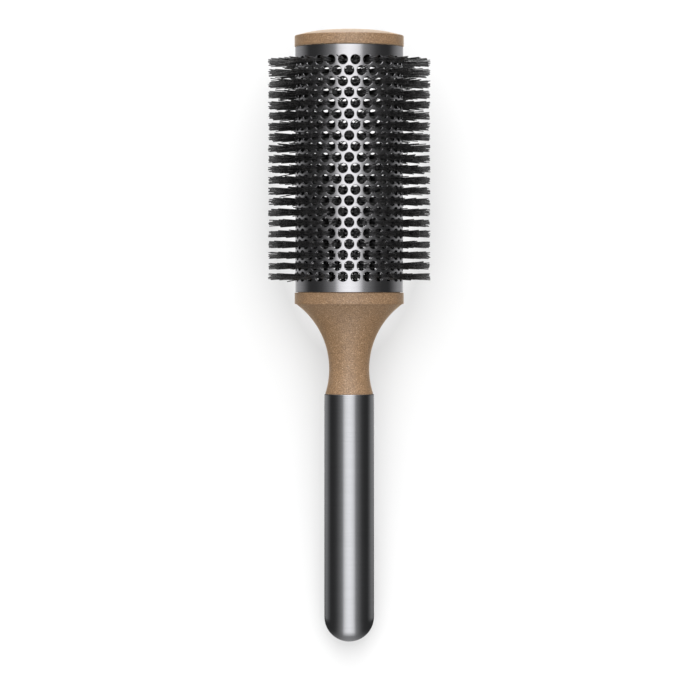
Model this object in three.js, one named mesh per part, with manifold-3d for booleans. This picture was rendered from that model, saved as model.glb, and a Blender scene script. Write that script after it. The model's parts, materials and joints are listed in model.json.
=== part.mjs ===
// A round vented barrel brush for blow-drying, as a three.js scene graph in millimetres.
//
// The brush is an assembly on one axis: a drawn handle tube, a flared neck, a vented aluminium barrel
// and an end cap. A slim tie rod runs through the barrel and carries a stack of bristle discs, one to
// each row of vents. A disc's tufts stand out through its row, and air passes between the discs.
//
// The pieces are built along +Y, from the tip of the handle at y = 0 to the crown of the end cap.
// The whole brush is then laid down on z = 0, where it rests on its handle tip and on the bristle
// disc nearest to the neck, so its axis rises a little towards the end cap.

import * as THREE from "three";
import { mergeGeometries, mergeVertices } from "three/addons/utils/BufferGeometryUtils.js";
import Module from "manifold-3d";

// ---- Driving dimensions ----

// Clearance kept between neighbouring pieces.
const GAP = 0.3;

const handle = { radius: 10.4, wall: 0.9, length: 103.7, lipHeight: 0.6, lipInset: 0.3 };

// The neck's outside is one circular sweep, from the handle in to a waist and out to the rim.
const neck = {
  length: 42.6,
  waistHeight: 10.5,
  waistRadius: 8.4,
  sweepRadius: 33.5,
  creaseRadius: 22.3,
  rimRadius: 22.8,
  rimLength: 4.9,
  cupWall: 2.8,
  cupDepth: 28,
  tangLength: 28,
};

const barrel = { radius: 22.5, wall: 0.8, length: 102.2 };

// The vents stand in staggered rows, every second row shifted by half a pitch.
const vents = { perRow: 27, rows: 21, rowPitch: 4.47, across: 3.9 };

const cap = {
  radius: 22.8,
  height: 7.2,
  edgeRadius: 0.5,
  dome: 2.4,
  flatRadius: 6,
  plate: 4.2,
  bossRadius: 5,
};

// The short plugs by which the neck and the end cap enter the barrel.
const spigot = { length: 3, wall: 2.4 };

const disc = { thickness: 2, boreRadius: 1.75, boreSegments: 8 };
const tuft = { tipRadius: 34, across: 2, along: 1.9, footDepth: 0.6 };

const tieRod = { radius: 1.3, segments: 12, neckDepth: 14, capDepth: 6 };

const ROUND_SEGMENTS = 24;
const MERGE_DISTANCE = 1e-3;
const SLIVER = 0.02;
const TURN = Math.PI * 2;

// ---- Stations along the axis, and sizes that follow from the driving ones ----

const neckStart = handle.length;
const barrelStart = neckStart + neck.length;
const barrelEnd = barrelStart + barrel.length;
const crown = barrelEnd + cap.height;
const firstVent = barrelStart + (barrel.length - (vents.rows - 1) * vents.rowPitch) / 2;

// The barrel is a tube with one flat to each vent of a row, so its inside is narrowest mid-flat.
const ventStep = TURN / vents.perRow;
const flatFactor = Math.cos(ventStep / 2);
const barrelInside = barrel.radius - barrel.wall;
const freeInside = barrelInside * flatFactor - GAP;

const rodHole = tieRod.radius + GAP;
const cupFloor = barrelStart - neck.cupDepth;
const rodStart = cupFloor - tieRod.neckDepth + GAP;
const rodEnd = crown - cap.plate - GAP;

// ---- Shared helpers ----

const wasm = await Module();
wasm.setup();

// Turns a profile of [radius, height] points about the axis. It runs up the outside and down the
// inside, and it starts and ends on the axis or returns to its first point.
function turned(profile, segments = ROUND_SEGMENTS) {
  const points = profile.map(([r, y]) => new THREE.Vector2(r, y));
  return new THREE.LatheGeometry(points, segments);
}

// A plain tube or ring between two heights.
function ring(outside, inside, from, to, segments) {
  const profile = [
    [inside, from],
    [outside, from],
    [outside, to],
    [inside, to],
    [inside, from],
  ];
  return turned(profile, segments);
}

// The points of a circular arc in a profile, about [r, y], from one angle to another.
function arc([r, y], radius, from, to, steps) {
  return Array.from({ length: steps + 1 }, (_, i) => {
    const angle = from + ((to - from) * i) / steps;
    return [Math.max(0, r + radius * Math.cos(angle)), y + radius * Math.sin(angle)];
  });
}

// A closed geometry as a solid that can be joined or cut.
function solid(geometry) {
  geometry.deleteAttribute("normal");
  geometry.deleteAttribute("uv");
  const merged = mergeVertices(geometry, MERGE_DISTANCE);
  return new wasm.Manifold(
    new wasm.Mesh({
      numProp: 3,
      vertProperties: merged.getAttribute("position").array,
      triVerts: Uint32Array.from(merged.index.array),
    }),
  );
}

// A joined or cut solid as a geometry.
function geometryOf(body) {
  const { vertProperties, triVerts } = body.getMesh();
  const geometry = new THREE.BufferGeometry();
  geometry.setAttribute("position", new THREE.BufferAttribute(vertProperties, 3));
  geometry.setIndex(new THREE.BufferAttribute(triVerts, 1));
  return geometry;
}

function piece(name, geometry, finish) {
  const mesh = new THREE.Mesh(geometry, new THREE.MeshStandardMaterial(finish));
  mesh.name = name;
  return mesh;
}

// ---- Finishes ----

const speckledTan = { color: 0xa38c76, roughness: 0.75, metalness: 0.1 };
const ironGrey = { color: 0x75777c, roughness: 0.3, metalness: 1 };
const satinAluminium = { color: 0x8e8d93, roughness: 0.35, metalness: 1 };
const blackNylon = { color: 0x151515, roughness: 0.45, metalness: 0 };
const greyPlastic = { color: 0x3a3a3d, roughness: 0.6, metalness: 0 };
const plainSteel = { color: 0xb9babd, roughness: 0.4, metalness: 1 };

// ---- Handle ----

const handleBore = handle.radius - handle.wall;
const tipCentre = [0, handle.radius];

// A drawn tube with a hemispherical tip, open at the neck.
function handleTube() {
  const profile = [
    ...arc(tipCentre, handle.radius, -TURN / 4, 0, 6),
    [handle.radius, handle.length - handle.lipHeight],
    [handle.radius - handle.lipInset, handle.length],
    [handleBore, handle.length],
    ...arc(tipCentre, handleBore, 0, -TURN / 4, 4),
  ];
  return piece("handle", turned(profile), ironGrey);
}

// The dowel that fills the tube below the neck's tang.
function handleDowel() {
  const profile = [
    ...arc(tipCentre, handleBore - GAP, -TURN / 4, 0, 4),
    [handleBore - GAP, neckStart - neck.tangLength - GAP],
    [0, neckStart - neck.tangLength - GAP],
  ];
  return piece("handle_dowel", turned(profile), greyPlastic);
}

// ---- Neck ----

// From the bottom: a tang in the handle, the sweep, the rim, and a spigot in the barrel. The neck is
// hollow from the barrel's side, and a hole in the floor of its cup takes the tie rod.
function flaredNeck() {
  const foot = neckStart + GAP;
  const rimStart = barrelStart - neck.rimLength;
  const tangRadius = handleBore - GAP;
  const centre = [neck.waistRadius + neck.sweepRadius, neckStart + neck.waistHeight];
  const footAngle = Math.asin((centre[1] - foot) / neck.sweepRadius);
  const creaseAngle = Math.acos((centre[0] - neck.creaseRadius) / neck.sweepRadius);
  const spigotRadius = barrelInside * flatFactor - GAP;
  const cupRadius = spigotRadius - spigot.wall;
  const profile = [
    [0, neckStart - neck.tangLength],
    [tangRadius, neckStart - neck.tangLength],
    [tangRadius, foot],
    ...arc(centre, neck.sweepRadius, TURN / 2 + footAngle, TURN / 2 - creaseAngle, 8),
    [neck.rimRadius, rimStart],
    [neck.rimRadius, barrelStart - GAP],
    [spigotRadius, barrelStart - GAP],
    [spigotRadius, barrelStart + spigot.length],
    [cupRadius, barrelStart + spigot.length],
    [cupRadius, rimStart],
    [neck.waistRadius + neck.cupWall, cupFloor + neck.cupDepth / 2],
    [rodHole + neck.cupWall, cupFloor],
    [rodHole, cupFloor],
    [rodHole, cupFloor - tieRod.neckDepth],
    [0, cupFloor - tieRod.neckDepth],
  ];
  return piece("neck", turned(profile), speckledTan);
}

// ---- Barrel ----

// The turn of each row: the first row has a vent at the very bottom, and the next one at the top.
function rowTurn(row) {
  return row % 2 === 0 ? ventStep / 2 : 0;
}

// One cutter for every vent, each a four-sided plug with a corner towards each end of the barrel.
function ventCutters() {
  const plug = new THREE.CylinderGeometry(vents.across / 2, vents.across / 2, barrel.wall * 4, 4);
  plug.rotateX(TURN / 4);
  plug.translate(0, firstVent, barrel.radius);
  const cutters = [];
  for (let row = 0; row < vents.rows; row++) {
    for (let i = 0; i < vents.perRow; i++) {
      const cutter = plug.clone();
      cutter.translate(0, row * vents.rowPitch, 0);
      cutter.rotateY(i * ventStep + rowTurn(row));
      cutters.push(cutter);
    }
  }
  return mergeGeometries(cutters);
}

function ventedBarrel() {
  const tube = ring(barrel.radius, barrelInside, barrelStart, barrelEnd, vents.perRow);
  const vented = solid(tube).subtract(solid(ventCutters())).setTolerance(SLIVER);
  return piece("vented_barrel", geometryOf(vented), satinAluminium);
}

// ---- Bristle discs ----

// A flat bored disc, with one tapered tuft to a vent standing out from its edge.
function discGeometry() {
  const edge = freeInside / flatFactor;
  const web = new THREE.CylinderGeometry(edge, edge, disc.thickness, vents.perRow);
  const { boreRadius, boreSegments } = disc;
  const bore = new THREE.CylinderGeometry(boreRadius, boreRadius, disc.thickness * 2, boreSegments);
  web.rotateY(ventStep / 2);

  const foot = freeInside - tuft.footDepth;
  const spike = new THREE.ConeGeometry(tuft.across / 2, tuft.tipRadius - foot, 4);
  spike.rotateX(TURN / 4);
  spike.scale(1, tuft.along / tuft.across, 1);
  spike.translate(0, 0, (tuft.tipRadius + foot) / 2);
  const tufts = Array.from({ length: vents.perRow }, (_, i) => spike.clone().rotateY(i * ventStep));
  const body = solid(web).subtract(solid(bore));
  return geometryOf(body.add(solid(mergeGeometries(tufts))));
}

function bristleDiscs() {
  const geometry = discGeometry();
  return Array.from({ length: vents.rows }, (_, row) => {
    const made = piece(`bristle_disc_${String(row + 1).padStart(2, "0")}`, geometry, blackNylon);
    made.position.y = firstVent + row * vents.rowPitch;
    made.rotation.y = rowTurn(row);
    return made;
  });
}

// ---- Tie rod ----

function tieRodBar() {
  const rod = new THREE.CylinderGeometry(tieRod.radius, tieRod.radius, rodEnd - rodStart, tieRod.segments);
  rod.translate(0, (rodStart + rodEnd) / 2, 0);
  return piece("tie_rod", rod, plainSteel);
}

// ---- End cap ----

// A crown that is flat in the middle and falls a little to its rounded edge, a spigot in the barrel,
// and a boss on the tie rod.
function endCap() {
  const underside = barrelEnd + GAP;
  const spigotRadius = barrelInside * flatFactor - GAP;
  const edgeCentre = [cap.radius - cap.edgeRadius, crown - cap.dome - cap.edgeRadius];
  const fall = (r) => crown - cap.dome * ((r - cap.flatRadius) / (edgeCentre[0] - cap.flatRadius)) ** 2;
  const slope = [0.75, 0.4].map((part) => cap.flatRadius + (edgeCentre[0] - cap.flatRadius) * part);
  const profile = [
    [0, rodEnd + GAP],
    [rodHole, rodEnd + GAP],
    [rodHole, rodEnd - tieRod.capDepth],
    [cap.bossRadius, rodEnd - tieRod.capDepth],
    [cap.bossRadius, crown - cap.plate],
    [spigotRadius - spigot.wall, crown - cap.plate],
    [spigotRadius - spigot.wall, barrelEnd - spigot.length],
    [spigotRadius, barrelEnd - spigot.length],
    [spigotRadius, underside],
    [cap.radius, underside],
    ...arc(edgeCentre, cap.edgeRadius, 0, TURN / 4, 2),
    ...slope.map((r) => [r, fall(r)]),
    [cap.flatRadius, crown],
    [0, crown],
  ];
  return piece("end_cap", turned(profile), speckledTan);
}

// ---- Assembly ----

const brush = new THREE.Group();
brush.add(handleTube(), handleDowel(), flaredNeck());
brush.add(ventedBarrel(), ...bristleDiscs(), tieRodBar(), endCap());

// Lying down, the brush touches with the lowest tuft of its first disc. The tilt brings that tuft and
// the handle's tip down to one level.
const reach = firstVent - handle.radius;
const drop = tuft.tipRadius;
const tilt = Math.atan2(drop, reach) - Math.asin(handle.radius / Math.hypot(drop, reach));
brush.rotation.x = tilt;

// The origin is on the floor below the middle of the brush's box.
const assembly = new THREE.Group();
assembly.add(brush);
assembly.updateMatrixWorld(true);
const box = new THREE.Box3().setFromObject(assembly, true);
const middle = box.getCenter(new THREE.Vector3());
brush.position.set(-middle.x, -middle.y, -box.min.z);
assembly.updateMatrixWorld(true);

export default assembly;
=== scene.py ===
import json
import math
import random

import bpy
from mathutils import Matrix, Vector


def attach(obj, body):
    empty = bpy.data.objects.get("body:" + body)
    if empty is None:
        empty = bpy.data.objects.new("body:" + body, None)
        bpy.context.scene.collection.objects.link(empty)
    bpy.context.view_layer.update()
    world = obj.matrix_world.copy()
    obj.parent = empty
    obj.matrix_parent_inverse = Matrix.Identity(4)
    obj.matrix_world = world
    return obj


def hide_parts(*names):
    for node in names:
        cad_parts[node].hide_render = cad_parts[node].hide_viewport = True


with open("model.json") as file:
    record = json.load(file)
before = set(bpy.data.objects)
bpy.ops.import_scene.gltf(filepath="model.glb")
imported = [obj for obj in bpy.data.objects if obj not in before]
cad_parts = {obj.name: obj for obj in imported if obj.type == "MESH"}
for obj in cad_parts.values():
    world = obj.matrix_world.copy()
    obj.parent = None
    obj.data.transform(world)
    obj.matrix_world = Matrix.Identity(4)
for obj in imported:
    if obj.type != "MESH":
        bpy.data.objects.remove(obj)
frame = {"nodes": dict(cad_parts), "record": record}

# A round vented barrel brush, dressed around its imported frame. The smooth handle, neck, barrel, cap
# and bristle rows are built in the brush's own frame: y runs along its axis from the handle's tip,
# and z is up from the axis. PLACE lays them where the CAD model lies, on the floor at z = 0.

MM = 0.001
TURN = 2 * math.pi
record = frame["record"]
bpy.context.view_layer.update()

# ---- The brush's own frame, read from the CAD model ----

mount = next(m for m in record["mounts"] if m["name"] == "end_cap_face")
ALONG = Vector(mount["axis"]).normalized()
SIDE = Vector((1, 0, 0))
ABOVE = SIDE.cross(ALONG)


def corners(node):
    return [v.co for v in frame["nodes"][node].data.vertices]


ON_AXIS = sum(corners("tie_rod"), Vector()) / len(corners("tie_rod"))
TIP = ON_AXIS + ALONG * min((c - ON_AXIS).dot(ALONG) for c in corners("handle"))
PLACE = Matrix.Translation(TIP) @ Matrix((SIDE, ALONG, ABOVE)).transposed().to_4x4()
BRUSH_OF = PLACE.inverted()


def span(node):
    """The lowest and highest station of a CAD node along the brush's axis."""
    stations = [(BRUSH_OF @ c).y for c in corners(node)]
    return min(stations), max(stations)


def girth(node):
    """The largest radius of a CAD node about the brush's axis."""
    return max(math.hypot((BRUSH_OF @ c).x, (BRUSH_OF @ c).z) for c in corners(node))


HANDLE_R = girth("handle")
HANDLE_END = span("handle")[1]
BARREL_R = girth("vented_barrel")
BARREL_START, BARREL_END = span("vented_barrel")
RIM_R = girth("neck")
CAP_R = girth("end_cap")
CROWN = span("end_cap")[1]
DISCS = sorted(n for n in frame["nodes"] if n.startswith("bristle_disc"))
TUFT_R = girth(DISCS[0])
ROWS = len(DISCS)
FIRST_ROW = sum(span(DISCS[0])) / 2
ROW_PITCH = (sum(span(DISCS[-1])) / 2 - FIRST_ROW) / (ROWS - 1)

# ---- Sizes of the visible detail ----

PER_ROW = 27
VENT_STEP = TURN / PER_ROW
VENT_R = 1.95 * MM
BARREL_WALL = 0.8 * MM
SPIGOT_R = BARREL_R - BARREL_WALL - 0.3 * MM
JOINT_LINE = 0.25 * MM    # the open line at each end of the barrel


def row_shift(row):
    """How far a row's vents stand round from the line above the axis, in vent steps."""
    return 0.5 if row % 2 == 0 else 0.0


# ---- Meshes ----

def piece(name, verts, faces, material, smooth_below=40, normals=None):
    """A mesh in the brush's frame, laid where the brush lies, riding on the one body."""
    mesh = bpy.data.meshes.new(name)
    mesh.from_pydata(verts, [], faces)
    mesh.validate()
    mesh.shade_smooth()
    if normals:
        mesh.normals_split_custom_set_from_vertices(normals)
    else:
        mesh.set_sharp_from_angle(angle=math.radians(smooth_below))
    mesh.materials.append(material)
    made = bpy.data.objects.new(name, mesh)
    bpy.context.collection.objects.link(made)
    made.matrix_world = PLACE
    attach(made, "root")
    return made


def arc(centre, radius, start, end, steps):
    """Profile points [radius, station] on a circular arc, with angles in degrees."""
    points = []
    for i in range(steps + 1):
        a = math.radians(start + (end - start) * i / steps)
        points.append((centre[0] + radius * math.cos(a), centre[1] + radius * math.sin(a)))
    return points


def turned(profile):
    """A solid of revolution whose profile runs up the outside, from the axis back to the axis."""
    segments = 192
    verts = [(0, profile[0][1], 0)]
    inner = profile[1:-1]
    for r, y in inner:
        for k in range(segments):
            a = TURN * k / segments
            verts.append((r * math.sin(a), y, r * math.cos(a)))
    verts.append((0, profile[-1][1], 0))
    last = len(verts) - 1
    faces = []
    for k in range(segments):
        n = (k + 1) % segments
        faces.append((0, 1 + n, 1 + k))
        for j in range(len(inner) - 1):
            low, high = 1 + j * segments, 1 + (j + 1) * segments
            faces.append((low + k, low + n, high + n, high + k))
        top = 1 + (len(inner) - 1) * segments
        faces.append((top + k, top + n, last))
    return verts, faces


def turned_ring(profile, segments):
    """A solid of revolution whose profile is a loop that stays clear of the axis."""
    verts, faces = [], []
    for r, y in profile:
        for k in range(segments):
            a = TURN * k / segments
            verts.append(Vector((r * math.sin(a), y, r * math.cos(a))))
    for j in range(len(profile)):
        low, high = j * segments, (j + 1) % len(profile) * segments
        for k in range(segments):
            n = (k + 1) % segments
            faces.append((low + k, low + n, high + n, high + k))
    return verts, faces


# ---- Materials ----

class Paint:
    """A material around one Principled shader, with short calls for its procedural nodes."""

    def __init__(self, name, metallic=0.0, roughness=0.5, specular=0.5):
        self.material = bpy.data.materials.new(name)
        self.material.use_nodes = True
        self.tree = self.material.node_tree
        self.shader = self.tree.nodes["Principled BSDF"]
        self.shader.inputs["Metallic"].default_value = metallic
        self.shader.inputs["Roughness"].default_value = roughness
        self.shader.inputs["Specular IOR Level"].default_value = specular
        self.place = self.tree.nodes.new("ShaderNodeTexCoord").outputs["Object"]

    def link(self, source, target):
        self.tree.links.new(source, target)

    def stretched(self, scale):
        node = self.tree.nodes.new("ShaderNodeMapping")
        node.inputs["Scale"].default_value = scale
        self.link(self.place, node.inputs["Vector"])
        return node.outputs["Vector"]

    def length(self, vector):
        node = self.tree.nodes.new("ShaderNodeVectorMath")
        node.operation = "LENGTH"
        self.link(vector, node.inputs[0])
        return node.outputs["Value"]

    def noise(self, scale, detail=2.0, rough=0.5, at=None):
        node = self.tree.nodes.new("ShaderNodeTexNoise")
        node.inputs["Scale"].default_value = scale
        node.inputs["Detail"].default_value = detail
        node.inputs["Roughness"].default_value = rough
        self.link(at or self.place, node.inputs["Vector"])
        return node.outputs["Fac"]

    def cells(self, scale):
        """A random value for each small cell."""
        node = self.tree.nodes.new("ShaderNodeTexVoronoi")
        node.inputs["Scale"].default_value = scale
        self.link(self.place, node.inputs["Vector"])
        split = self.tree.nodes.new("ShaderNodeSeparateColor")
        self.link(node.outputs["Color"], split.inputs["Color"])
        return split.outputs["Red"]

    def ramp(self, value, *stops):
        node = self.tree.nodes.new("ShaderNodeValToRGB")
        elements = node.color_ramp.elements
        while len(elements) < len(stops):
            elements.new(0.5)
        for element, (at, colour) in zip(elements, stops):
            element.position = at
            element.color = (*(colour if isinstance(colour, tuple) else (colour,) * 3), 1)
        self.link(value, node.inputs["Fac"])
        return node.outputs["Color"]

    def mix(self, amount, a, b, blend="MIX"):
        node = self.tree.nodes.new("ShaderNodeMix")
        node.data_type = "RGBA"
        node.blend_type = blend
        for socket, value in ((node.inputs["Factor"], amount), (node.inputs["A"], a), (node.inputs["B"], b)):
            if isinstance(value, (int, float)):
                socket.default_value = value
            elif isinstance(value, tuple):
                socket.default_value = (*value, 1)
            else:
                self.link(value, socket)
        return node.outputs["Result"]

    def colour(self, source):
        self.link(source, self.shader.inputs["Base Color"])

    def roughness(self, source):
        self.link(source, self.shader.inputs["Roughness"])

    def bump(self, height, depth, strength=1.0):
        node = self.tree.nodes.new("ShaderNodeBump")
        node.inputs["Strength"].default_value = strength
        node.inputs["Distance"].default_value = depth
        self.link(height, node.inputs["Height"])
        self.link(node.outputs["Normal"], self.shader.inputs["Normal"])


def speckled_composite():
    """A tan moulding with a fine grain, light and dark flecks and a faint sheen at grazing angles."""
    paint = Paint("speckled_composite", roughness=0.5, specular=0.75)
    paint.shader.inputs["Sheen Weight"].default_value = 0.6
    paint.shader.inputs["Sheen Roughness"].default_value = 0.3
    paint.shader.inputs["Sheen Tint"].default_value = (1.0, 0.8, 0.6, 1)
    grain = paint.noise(2300, detail=3, rough=0.7)
    body = paint.ramp(
        grain,
        (0.36, (0.125, 0.067, 0.029)),
        (0.5, (0.215, 0.125, 0.06)),
        (0.64, (0.325, 0.205, 0.112)),
    )
    broad = paint.ramp(paint.noise(110, detail=2), (0.3, 0.9), (0.7, 1.0))
    body = paint.mix(1.0, body, broad, "MULTIPLY")
    fleck = paint.cells(2600)
    light = paint.ramp(fleck, (0.93, 0.0), (0.98, 0.4))
    dark = paint.ramp(fleck, (0.04, 0.5), (0.12, 0.0))
    body = paint.mix(light, body, (0.46, 0.34, 0.23))
    body = paint.mix(dark, body, (0.09, 0.046, 0.022))
    paint.colour(body)
    paint.roughness(paint.ramp(fleck, (0.1, 0.56), (0.85, 0.48), (0.97, 0.34)))
    paint.bump(grain, 0.05 * MM, 0.5)
    return paint.material


def turned_metal(name, tint, roughness, wear):
    """Satin metal with a fine grain round the axis, faint smudges and a few light marks."""
    paint = Paint(name, metallic=1.0, roughness=roughness)
    grain = paint.noise(60, detail=4, rough=0.7, at=paint.stretched((1, 90, 1)))
    smudge = paint.noise(45, detail=3, rough=0.6)
    marks = paint.noise(260, detail=5, rough=0.8, at=paint.stretched((1, 0.12, 1)))
    dim = tuple(c * 0.93 for c in tint)
    lit = tuple(min(1.0, c * 1.06) for c in tint)
    body = paint.ramp(grain, (0.3, dim), (0.7, lit))
    scuff = paint.ramp(marks, (0.68, 0.0), (0.78, wear))
    paint.colour(paint.mix(scuff, body, tuple(min(1.0, c * 1.5) for c in tint)))
    satin = paint.ramp(smudge, (0.3, roughness * 0.9), (0.7, roughness * 1.12))
    paint.roughness(paint.mix(scuff, satin, (roughness * 1.6,) * 3))
    paint.bump(grain, 0.004 * MM, 0.5)
    return paint.material


def nylon_bristle():
    """Black nylon, with painted shade that darkens it towards the roots and over the disc inside the barrel.
    """
    paint = Paint("nylon_bristle", roughness=0.3, specular=0.6)
    tone = paint.noise(700, detail=1)
    worn = paint.ramp(tone, (0.35, (0.007, 0.007, 0.0075)), (0.65, (0.02, 0.0195, 0.019)))
    # Painted shade: the colour is multiplied down to 0.12 at the disc and the roots inside the barrel, back
    # to full by 0.72 of the tufts' radius.
    radius = paint.length(paint.stretched((1 / TUFT_R, 0, 1 / TUFT_R)))
    paint.colour(paint.mix(1.0, worn, paint.ramp(radius, (0.6, 0.12), (0.72, 1.0)), "MULTIPLY"))
    paint.roughness(paint.ramp(paint.noise(1500, detail=1), (0.3, 0.24), (0.7, 0.36)))
    paint.bump(paint.noise(3000, detail=2), 0.01 * MM, 0.4)
    return paint.material


def moulded_plastic():
    """Dark grey plastic with a fine texture, for the core of the handle."""
    paint = Paint("inner_plastic", roughness=0.55)
    paint.colour(paint.ramp(paint.noise(120, detail=3), (0.3, 0.028), (0.7, 0.045)))
    paint.roughness(paint.ramp(paint.noise(400, detail=2), (0.3, 0.5), (0.7, 0.62)))
    paint.bump(paint.noise(2500, detail=2), 0.02 * MM, 0.5)
    return paint.material


TAN = speckled_composite()
IRON = turned_metal("handle_metal", (0.4, 0.405, 0.42), 0.17, 0.25)
ALUMINIUM = turned_metal("barrel_aluminium", (0.475, 0.47, 0.488), 0.14, 0.3)
STEEL = turned_metal("plain_steel", (0.5, 0.5, 0.51), 0.35, 0.3)
NYLON = nylon_bristle()
PLASTIC = moulded_plastic()


# ---- Handle, neck and end cap ----

def handle():
    """A hemispherical tip, a long straight tube, and a rounded lip round the neck's foot."""
    lip, mouth_depth = 0.42 * MM, 0.8 * MM
    mouth_r = HANDLE_R - lip
    straight = HANDLE_END - lip - HANDLE_R
    profile = [
        *arc((0, HANDLE_R), HANDLE_R, -90, 0, 40),
        *[(HANDLE_R, HANDLE_R + straight * i / 24) for i in range(1, 25)],
        *arc((mouth_r, HANDLE_END - lip), lip, 15, 90, 5),
        (mouth_r, HANDLE_END - mouth_depth),
        (0, HANDLE_END - mouth_depth),
    ]
    made = piece("handle_tube", *turned(profile), IRON)
    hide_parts("handle")


def neck():
    """One circular sweep from the handle's mouth in to the waist and out to the crease and the rim."""
    waist_r, sweep = 8.4 * MM, 33.5 * MM
    waist = HANDLE_END + 10.5 * MM
    centre = (waist_r + sweep, waist)
    foot_r = HANDLE_R - 0.46 * MM
    foot_station = HANDLE_END - 0.7 * MM
    crease_r = RIM_R - 0.45 * MM
    foot = math.degrees(math.acos((centre[0] - foot_r) / sweep))
    crease = math.degrees(math.acos((centre[0] - crease_r) / sweep))
    soft = 0.3 * MM
    rim_start = BARREL_START - 4.9 * MM
    rim_top = BARREL_START - JOINT_LINE
    spigot_end = BARREL_START + 3 * MM
    profile = [
        (0, foot_station),
        (foot_r, foot_station),
        *arc(centre, sweep, 180 + foot, 180 - crease, 72),
        (RIM_R - 0.1 * MM, rim_start - 0.1 * MM),
        (RIM_R, rim_start + 0.15 * MM),
        *[(RIM_R, rim_start + (rim_top - soft - rim_start) * i / 5) for i in range(1, 6)],
        *arc((RIM_R - soft, rim_top - soft), soft, 18, 90, 5),
        (SPIGOT_R, rim_top),
        (SPIGOT_R, spigot_end),
        (0, spigot_end),
    ]
    made = piece("neck_flare", *turned(profile), TAN)
    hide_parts("neck")


def end_cap():
    """A spigot in the barrel, a straight side, a softened corner and a domed crown with a flat middle."""
    low = BARREL_END + JOINT_LINE
    spigot_end = BARREL_END - 1.6 * MM
    foot, soft, dome, flat_r = 0.2 * MM, 0.5 * MM, 2.4 * MM, 6 * MM
    edge_r = CAP_R - soft
    corner = CROWN - dome
    slope = [edge_r + (flat_r - edge_r) * i / 24 for i in range(1, 25)]
    profile = [
        (0, spigot_end),
        (SPIGOT_R, spigot_end),
        (SPIGOT_R, low),
        (CAP_R - foot, low),
        *arc((CAP_R - foot, low + foot), foot, -75, 0, 4),
        *[(CAP_R, low + foot + (corner - soft - low - foot) * i / 5) for i in range(1, 5)],
        *arc((edge_r, corner - soft), soft, 0, 76, 7),
        *[(r, CROWN - dome * ((r - flat_r) / (edge_r - flat_r)) ** 2) for r in slope],
        (0, CROWN),
    ]
    made = piece("cap_disc", *turned(profile), TAN)
    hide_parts("end_cap")


# ---- Barrel ----

SIDE_STEPS = 6               # steps along each side of the cell round a vent
LOOP = 4 * SIDE_STEPS


def cell_border(row, i):
    """The grid keys round one vent's cell, clockwise from its upper corner, as (angle, station) steps."""
    left = round((i + row_shift(row) - 0.5) * SIDE_STEPS)
    low = row * SIDE_STEPS
    keys = [(left + k, low + SIDE_STEPS) for k in range(SIDE_STEPS)]
    keys += [(left + SIDE_STEPS, low + SIDE_STEPS - k) for k in range(SIDE_STEPS)]
    keys += [(left + SIDE_STEPS - k, low) for k in range(SIDE_STEPS)]
    keys += [(left, low + k) for k in range(SIDE_STEPS)]
    return [(a % (PER_ROW * SIDE_STEPS), s) for a, s in keys]


def barrel():
    """A tube of cells, each with one round vent whose outer edge is rolled over."""
    roll, turn_in = 0.24 * MM, 0.12 * MM
    inside = BARREL_R - BARREL_WALL
    verts, normals, faces, grid = [], [], [], {}

    def add(angle, station, radius, tilt=0.0, towards=(0, 0)):
        """A point whose normal leans by tilt from the radius towards a direction in the surface."""
        around = Vector((math.cos(angle), 0, -math.sin(angle)))
        out = Vector((math.sin(angle), 0, math.cos(angle)))
        lean = around * towards[0] + Vector((0, towards[1], 0))
        verts.append(Vector((radius * math.sin(angle), station, radius * math.cos(angle))))
        normals.append((out * math.cos(tilt) + lean * math.sin(tilt)).normalized())
        return len(verts) - 1

    def border(key, skin):
        if (key, skin) not in grid:
            angle = key[0] * VENT_STEP / SIDE_STEPS
            station = FIRST_ROW + (key[1] / SIDE_STEPS - 0.5) * ROW_PITCH
            radius, tilt = (BARREL_R, 0.0) if skin == "outer" else (inside, math.pi)
            grid[key, skin] = add(angle, station, radius, tilt)
        return grid[key, skin]

    for row in range(ROWS):
        for i in range(PER_ROW):
            middle = (i + row_shift(row)) * VENT_STEP
            station = FIRST_ROW + row * ROW_PITCH
            keys = cell_border(row, i)
            rings = [[border(k, "outer") for k in keys]]
            levels = [
                (VENT_R + roll, BARREL_R, 0),
                (VENT_R + roll * 0.29, BARREL_R - roll * 0.29, 45),
                (VENT_R, BARREL_R - roll, 90),
                (VENT_R, inside, 130),
            ]
            for r, radius, tilt in levels:
                ring = []
                for k in range(LOOP):
                    a = TURN * (3 / 8 - k / LOOP)
                    c, s = math.cos(a), math.sin(a)
                    angle = middle + r * c / BARREL_R
                    ring.append(add(angle, station + r * s, radius, math.radians(tilt), (-c, -s)))
                rings.append(ring)
            rings.append([border(k, "inner") for k in keys])
            for outer, inner in zip(rings, rings[1:]):
                for k in range(LOOP):
                    n = (k + 1) % LOOP
                    faces.append((outer[k], inner[k], inner[n], outer[n]))

    around = PER_ROW * SIDE_STEPS
    for edge, end, sign in ((0, BARREL_START, -1), (ROWS * SIDE_STEPS, BARREL_END, 1)):
        rings = [[border((k, edge), "outer") for k in range(around)]]
        for radius, station, tilt in (
            (BARREL_R, end - sign * turn_in, 0),
            (BARREL_R - turn_in, end, 45),
            (inside, end, 100),
        ):
            rings.append([
                add(k * VENT_STEP / SIDE_STEPS, station, radius, math.radians(tilt), (0, sign))
                for k in range(around)
            ])
        rings.append([border((k, edge), "inner") for k in range(around)])
        for outer, inner in zip(rings, rings[1:]):
            for k in range(around):
                n = (k + 1) % around
                quad = (outer[k], outer[n], inner[n], inner[k])
                faces.append(quad if sign > 0 else quad[::-1])
    made = piece("barrel_sheet", verts, faces, ALUMINIUM, normals=normals)
    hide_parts("vented_barrel")


# ---- Bristles ----

FILAMENT_SIDES = 6
FILAMENTS = 7                # in each tuft
FILAMENT_SPACING = 0.41      # along the brush, in mm
FILAMENT_STAGGER = 0.45      # to either side of the tuft's middle, in mm
rng = random.Random(7)


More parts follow.
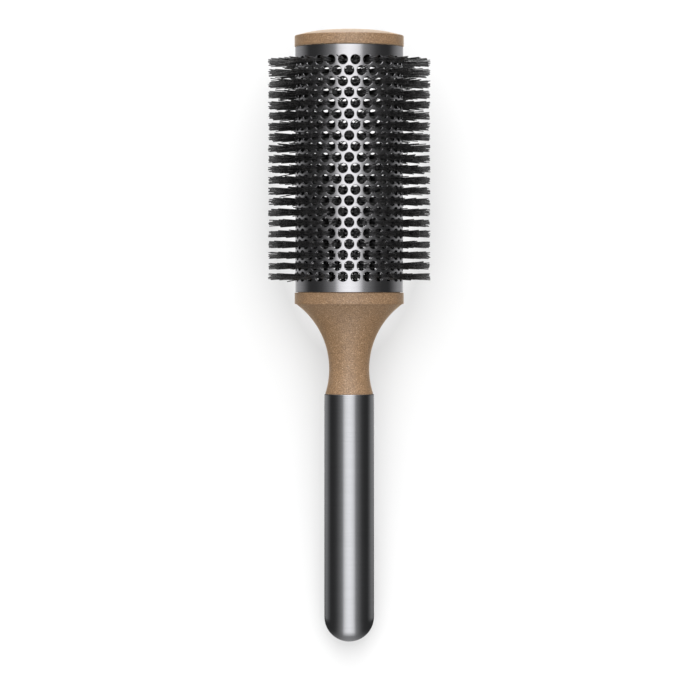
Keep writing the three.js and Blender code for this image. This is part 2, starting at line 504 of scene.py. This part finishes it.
def filament(verts, faces, root, tip, bow, radius):
    """A round filament from root to tip with a rounded end, bowed sideways at its middle."""
    stations = ((0.0, 1.0), (0.36, 1.0), (0.7, 1.0), (0.985, 0.95), (0.996, 0.62))
    run = tip - root
    across = run.normalized().orthogonal().normalized()
    other = run.normalized().cross(across)
    first = len(verts)
    for t, wide in stations:
        centre = root + run * t + bow * (4 * t * (1 - t))
        for k in range(FILAMENT_SIDES):
            a = TURN * k / FILAMENT_SIDES
            verts.append(centre + (across * math.cos(a) + other * math.sin(a)) * radius * wide)
    verts.append(tip)
    end = len(verts) - 1
    for level in range(len(stations) - 1):
        low = first + level * FILAMENT_SIDES
        for k in range(FILAMENT_SIDES):
            n = (k + 1) % FILAMENT_SIDES
            faces.append((low + k, low + n, low + FILAMENT_SIDES + n, low + FILAMENT_SIDES + k))
    top = first + (len(stations) - 1) * FILAMENT_SIDES
    for k in range(FILAMENT_SIDES):
        faces.append((top + k, top + (k + 1) % FILAMENT_SIDES, end))
    faces.append(tuple(first + k for k in reversed(range(FILAMENT_SIDES))))


def tuft(verts, faces, angle, station, root_r):
    """The filaments of one vent: most reach the full radius, some are shorter, a few stray."""
    out = Vector((math.sin(angle), 0, math.cos(angle)))
    around = Vector((math.cos(angle), 0, -math.sin(angle)))
    along = Vector((0, 1, 0))
    for k in range(FILAMENTS):
        # The filaments stand in a zigzag along the brush, nearly parallel, with a little chance.
        ahead = (k - (FILAMENTS - 1) / 2) * FILAMENT_SPACING + rng.gauss(0, 0.05)
        beside = (FILAMENT_STAGGER if k % 2 else -FILAMENT_STAGGER) + rng.gauss(0, 0.12)
        root = out * root_r + along * (station + ahead * 0.4 * MM) + around * beside * MM
        head = along * (ahead + rng.gauss(0, 0.05)) * MM + around * (beside * 1.2 + rng.gauss(0, 0.2)) * MM
        short = abs(rng.gauss(0, 0.3))
        if rng.random() < 0.07 + 0.22 * abs(ahead):
            short += rng.uniform(0.8, 5.0)
        if rng.random() < 0.02:
            head += (around * rng.uniform(-3, 3) + along * rng.uniform(-1.6, 1.6)) * MM
            short += rng.uniform(0.5, 2.5)
        bow = (around * rng.gauss(0, 0.12) + along * rng.gauss(0, 0.04)) * MM
        tip = out * (TUFT_R - short * MM) + along * station + head
        filament(verts, faces, root, tip, bow, rng.uniform(0.2, 0.23) * MM)


def bristle_row(row):
    """A thin bored disc with a beaded edge, from which a tuft stands out to every vent."""
    bore, edge = 1.75 * MM, 20 * MM
    boss_half, web_half, bead_half = 0.9 * MM, 0.5 * MM, 0.8 * MM
    station = FIRST_ROW + row * ROW_PITCH
    half = [
        (bore, boss_half),
        (bore + 0.25 * MM, boss_half),
        (bore + 0.7 * MM, web_half),
        (edge - 2.2 * MM, web_half),
        (edge - 1.6 * MM, bead_half),
        (edge - 0.3 * MM, bead_half),
        (edge, bead_half - 0.3 * MM),
    ]
    profile = [(r, station - y) for r, y in half] + [(r, station + y) for r, y in reversed(half)]
    verts, faces = turned_ring(profile, 2 * PER_ROW)
    for i in range(PER_ROW):
        tuft(verts, faces, (i + row_shift(row)) * VENT_STEP, station, edge - 0.5 * MM)
    made = piece(f"bristle_row_{row + 1:02d}", verts, faces, NYLON, smooth_below=60)
    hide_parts(DISCS[row])


handle()
neck()
end_cap()
barrel()
for row_index in range(ROWS):
    bristle_row(row_index)

for node, material, slot in (
    ("handle_dowel", PLASTIC, "inner_plastic"),
    ("tie_rod", STEEL, "plain_steel"),
):
    inner = frame["nodes"][node]
    inner.data.materials.clear()
    inner.data.materials.append(material)


# ---- Camera, floor and light ----

# The camera stands square above the axis, over the start of the barrel. It looks a little towards
# the handle, and a hair to one side.
SIGHT = ABOVE
STAND_STATION, AIM_STATION, AIM_ASIDE = 148.8 * MM, 122.07 * MM, 0.34 * MM
DISTANCE = 1.5
LENS, SENSOR = 184.5, 36     # mm
STRIP_LEVEL, BACKDROP_LEVEL = 1.85, 1.05
FLOOR_TONE, FLOOR_GLOW = 0.41, 0.34
# A painted pool of light: brighter glow on the floor under the barrel, with its half-size across and along.
PAINTED_POOL_GLOW, PAINTED_POOL_ACROSS, PAINTED_POOL_LENGTH = 0.9, 0.034, 0.075

across_view = ALONG.cross(SIGHT)
eye = TIP + ALONG * STAND_STATION + SIGHT * DISTANCE
aim = TIP + ALONG * AIM_STATION + across_view * AIM_ASIDE
back = (eye - aim).normalized()
right = ALONG.cross(back).normalized()
camera = bpy.data.objects.new("camera", bpy.data.cameras.new("camera"))
bpy.context.collection.objects.link(camera)
camera.data.lens = LENS
camera.data.sensor_width = SENSOR
camera.data.clip_end = 50
turned_to_aim = Matrix((right, back.cross(right), back)).transposed().to_4x4()
camera.matrix_world = Matrix.Translation(eye) @ turned_to_aim
bpy.context.scene.camera = camera


def floor():
    """A pale sheet that glows faintly all over, and glows brighter in a painted pool of light under the
    barrel.

    It is left out of the reflections, where the studio stands alone.
    """
    half = 20
    mesh = bpy.data.meshes.new("floor")
    sheet = [(-half, -half, 0), (half, -half, 0), (half, half, 0), (-half, half, 0)]
    mesh.from_pydata(sheet, [], [(0, 1, 2, 3)])
    paint = Paint("floor_paper", roughness=0.9, specular=0.2)
    paint.colour(paint.ramp(paint.noise(30), (0.3, FLOOR_TONE), (0.7, FLOOR_TONE + 0.005)))
    # Painted light: an oval pool of glow under the barrel, fading out to the faint glow of the rest of the
    # sheet.
    painted_pool = paint.tree.nodes.new("ShaderNodeTexGradient")
    painted_pool.gradient_type = "SPHERICAL"
    middle = TIP + ALONG * (BARREL_START + BARREL_END) / 2
    place = paint.stretched((1 / PAINTED_POOL_ACROSS, 1 / PAINTED_POOL_LENGTH, 1))
    place.node.inputs["Location"].default_value = (0, -middle.y / PAINTED_POOL_LENGTH, 0)
    paint.link(place, painted_pool.inputs["Vector"])
    glow = paint.ramp(painted_pool.outputs["Fac"], (0.0, FLOOR_GLOW), (0.45, PAINTED_POOL_GLOW))
    paint.link(glow, paint.shader.inputs["Emission Color"])
    paint.shader.inputs["Emission Strength"].default_value = 1.0
    mesh.materials.append(paint.material)
    made = bpy.data.objects.new("floor", mesh)
    bpy.context.collection.objects.link(made)
    made.visible_glossy = False
    made.visible_diffuse = False


def studio():
    """A long strip of light over the brush with dim edges, and a plain white backdrop behind all."""
    world = bpy.data.worlds.new("studio")
    world.use_nodes = True
    bpy.context.scene.world = world
    tree = world.node_tree
    tree.nodes.clear()
    new, link = tree.nodes.new, tree.links.new
    direction = new("ShaderNodeTexCoord").outputs["Generated"]

    def vector_maths(operation, source, constant=None):
        node = new("ShaderNodeVectorMath")
        node.operation = operation
        link(source, node.inputs[0])
        if constant is not None:
            node.inputs[1].default_value = constant
        return node.outputs["Value" if operation == "DOT_PRODUCT" else "Vector"]

    def maths(operation, source, constant=None):
        node = new("ShaderNodeMath")
        node.operation = operation
        link(source, node.inputs[0])
        if constant is not None:
            node.inputs[1].default_value = constant
        return node.outputs["Value"]

    def ramp(value, stops):
        node = new("ShaderNodeValToRGB")
        while len(node.color_ramp.elements) < len(stops):
            node.color_ramp.elements.new(0.5)
        for element, (place, level) in zip(node.color_ramp.elements, stops):
            element.position = place
            element.color = (level, level, level, 1)
        link(value, node.inputs["Fac"])
        return node.outputs["Color"]

    def blended(amount, a, b):
        node = new("ShaderNodeMix")
        node.data_type = "RGBA"
        link(amount, node.inputs["Factor"])
        link(a, node.inputs["A"])
        link(b, node.inputs["B"])
        return node.outputs["Result"]

    # The studio is laid out by the slope of the polished face that would show it overhead, so that
    # each edge of the strip runs straight along the handle and on round its tip. Across: 0 is
    # straight overhead, 0.71 is level with the brush, and 1 is straight below.
    facing = vector_maths("NORMALIZE", vector_maths("ADD", direction, SIGHT))
    across = maths("ABSOLUTE", vector_maths("DOT_PRODUCT", facing, across_view))
    tipward = maths("MAXIMUM", vector_maths("DOT_PRODUCT", facing, -ALONG), 0.0)
    capward = maths("MAXIMUM", vector_maths("DOT_PRODUCT", direction, ALONG), 0.0)
    overhead = [(0, 1.0), (0.105, 0.9), (0.174, 0.74), (0.21, 0.57), (0.26, 0.25), (0.31, 0.185)]
    flanks = [(0.4, 0.11), (0.5, 0.049), (0.6, 0.03), (0.72, 0.027), (0.755, 0.04), (0.8, 0.085)]
    paper = [(0.853, 0.155), (0.9, 0.22), (0.96, 0.25), (0.99, 0.36)]
    beside = ramp(across, overhead + flanks + paper)
    beside_tip = ramp(across, overhead + flanks[:4] + [(1.0, 0.03)])
    past_tip = ramp(across, [(0, 0.24), (0.2, 0.2), (0.4, 0.11), (0.6, 0.055), (0.85, 0.03)])
    level = blended(ramp(tipward, [(0.04, 0.0), (0.28, 1.0)]), beside, beside_tip)
    level = blended(ramp(tipward, [(0.58, 0.0), (0.78, 1.0)]), level, past_tip)
    glow = maths("MULTIPLY", ramp(capward, [(0.25, 0.625), (0.7, 1.0)]), 1.6)
    lights = new("ShaderNodeBackground")
    link(level, lights.inputs["Color"])
    link(maths("MULTIPLY", glow, STRIP_LEVEL), lights.inputs["Strength"])
    backdrop = new("ShaderNodeBackground")
    backdrop.inputs["Color"].default_value = (1, 1, 1, 1)
    backdrop.inputs["Strength"].default_value = BACKDROP_LEVEL
    seen = new("ShaderNodeLightPath").outputs["Is Camera Ray"]
    blend = new("ShaderNodeMixShader")
    link(seen, blend.inputs["Fac"])
    link(lights.outputs["Background"], blend.inputs[1])
    link(backdrop.outputs["Background"], blend.inputs[2])
    link(blend.outputs["Shader"], new("ShaderNodeOutputWorld").inputs["Surface"])


def fill_light(name, towards, energy, spread):
    """A broad sun from one side, which lights matt faces but makes no reflection."""
    lamp = bpy.data.lights.new(name, "SUN")
    lamp.energy = energy
    lamp.angle = math.radians(spread)
    made = bpy.data.objects.new(name, lamp)
    bpy.context.collection.objects.link(made)
    made.location = TIP + ALONG * 120 * MM + towards.normalized()
    made.rotation_mode = "QUATERNION"
    made.rotation_quaternion = towards.to_track_quat("Z", "Y")
    made.visible_camera = False
    made.visible_glossy = False


floor()
studio()
fill_light("fill_beyond_cap", SIGHT + ALONG * 0.6, 2.0, 90)
fill_light("fill_left", SIGHT * 0.15 - across_view, 1.5, 50)
fill_light("fill_right", SIGHT * 0.15 + across_view, 1.5, 50)
bpy.context.scene.view_settings.view_transform = "Standard"
